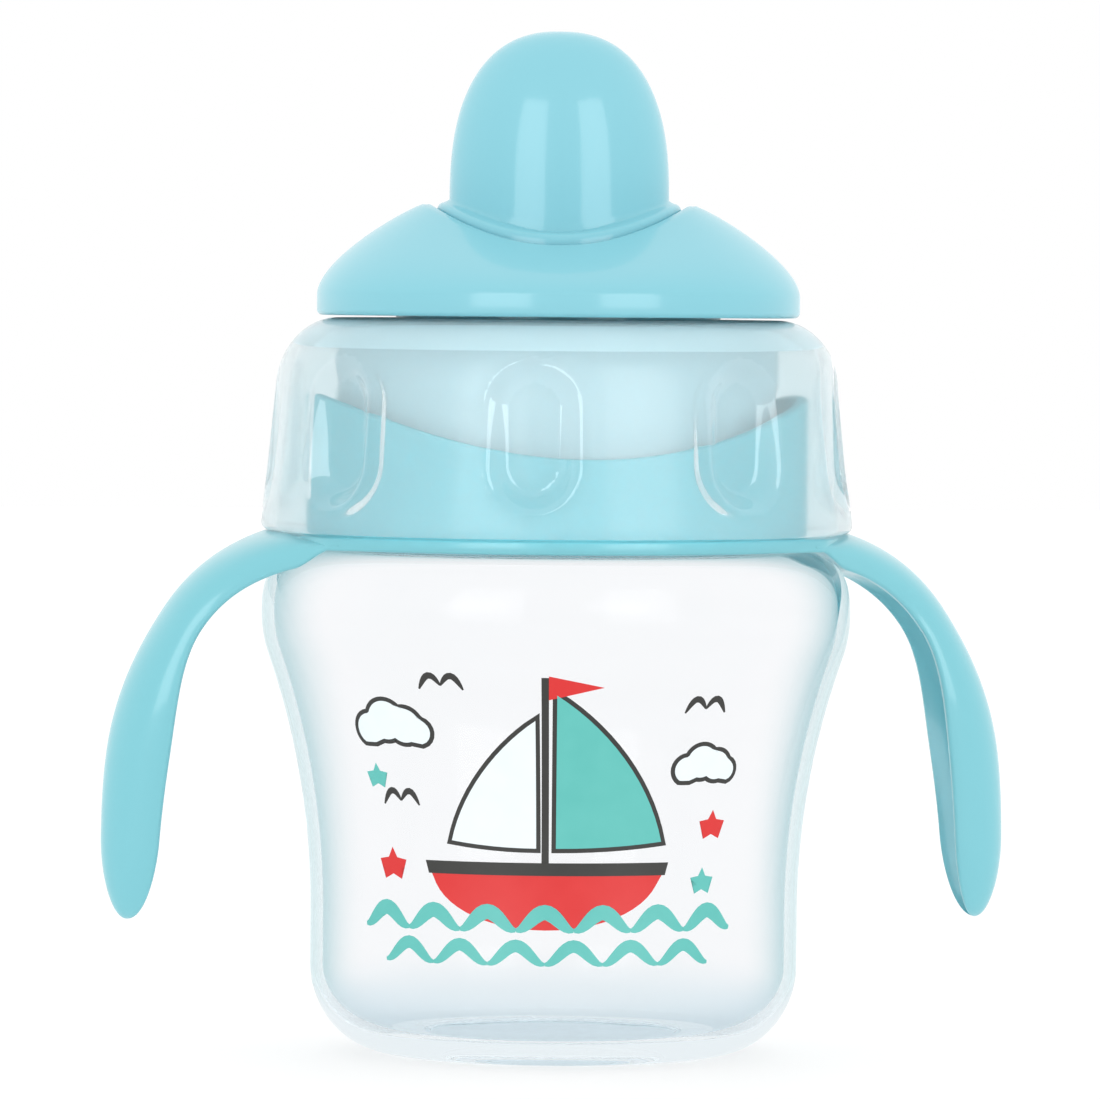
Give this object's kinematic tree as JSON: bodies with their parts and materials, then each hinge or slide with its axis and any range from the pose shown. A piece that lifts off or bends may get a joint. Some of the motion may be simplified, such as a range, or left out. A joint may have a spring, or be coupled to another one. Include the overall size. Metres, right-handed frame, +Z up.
{
  "type": "sippy cup",
  "caption": "Learner cup with a clear waisted bottle, a frosted screw collar, a frame with open handles, a valved soft spout under a lid, and a pull-off dome cap.",
  "frame": {"origin": "centre of the bottle's foot, on the plane it stands on", "axes": "+Z up along the cup's axis, +X through the right handle, -Y towards the drinker's side"},
  "size_m": [0.1162, 0.0754, 0.1301],
  "materials": {
    "clear_plastic": "clear, gloss",
    "aqua_plastic": "satin gloss",
    "frosted_plastic": "frosted, see-through",
    "white_plastic": "satin",
    "silicone": "soft, milky"
  },
  "bodies": {
    "bottle": {"bottle": "clear_plastic"},
    "handles": {"handle_frame": "aqua_plastic"},
    "lid_unit": {"lid": "aqua_plastic", "spout": "silicone", "valve_plate": "white_plastic", "flow_valve": "silicone", "vent_valve": "silicone", "rim_seal": "silicone"},
    "collar": {"screw_collar": "frosted_plastic"},
    "cap": {"spout_cap": "aqua_plastic"}
  },
  "joints": [
    {"name": "handle_turn", "type": "hinge", "parent": "bottle", "child": "handles", "pos_m": [0, 0, 0.065], "axis": [0, 0, 1], "continuous": true},
    {"name": "lid_lift", "type": "slide", "parent": "bottle", "child": "lid_unit", "axis": [0, 0, 1], "range_m": [0, 0.00565]},
    {"name": "collar_turn", "type": "hinge", "parent": "lid_unit", "child": "collar", "pos_m": [0, 0, 0.08], "axis": [0, 0, 1], "range_deg": [0, 450]},
    {"name": "cap_lift", "type": "slide", "parent": "lid_unit", "child": "cap", "axis": [0, 0, 1], "range_m": [0, 0.034]}
  ],
  "couplings": [
    {"joint": "lid_lift", "follows": "collar_turn", "m_per_rad": 0.0007162}
  ]
}
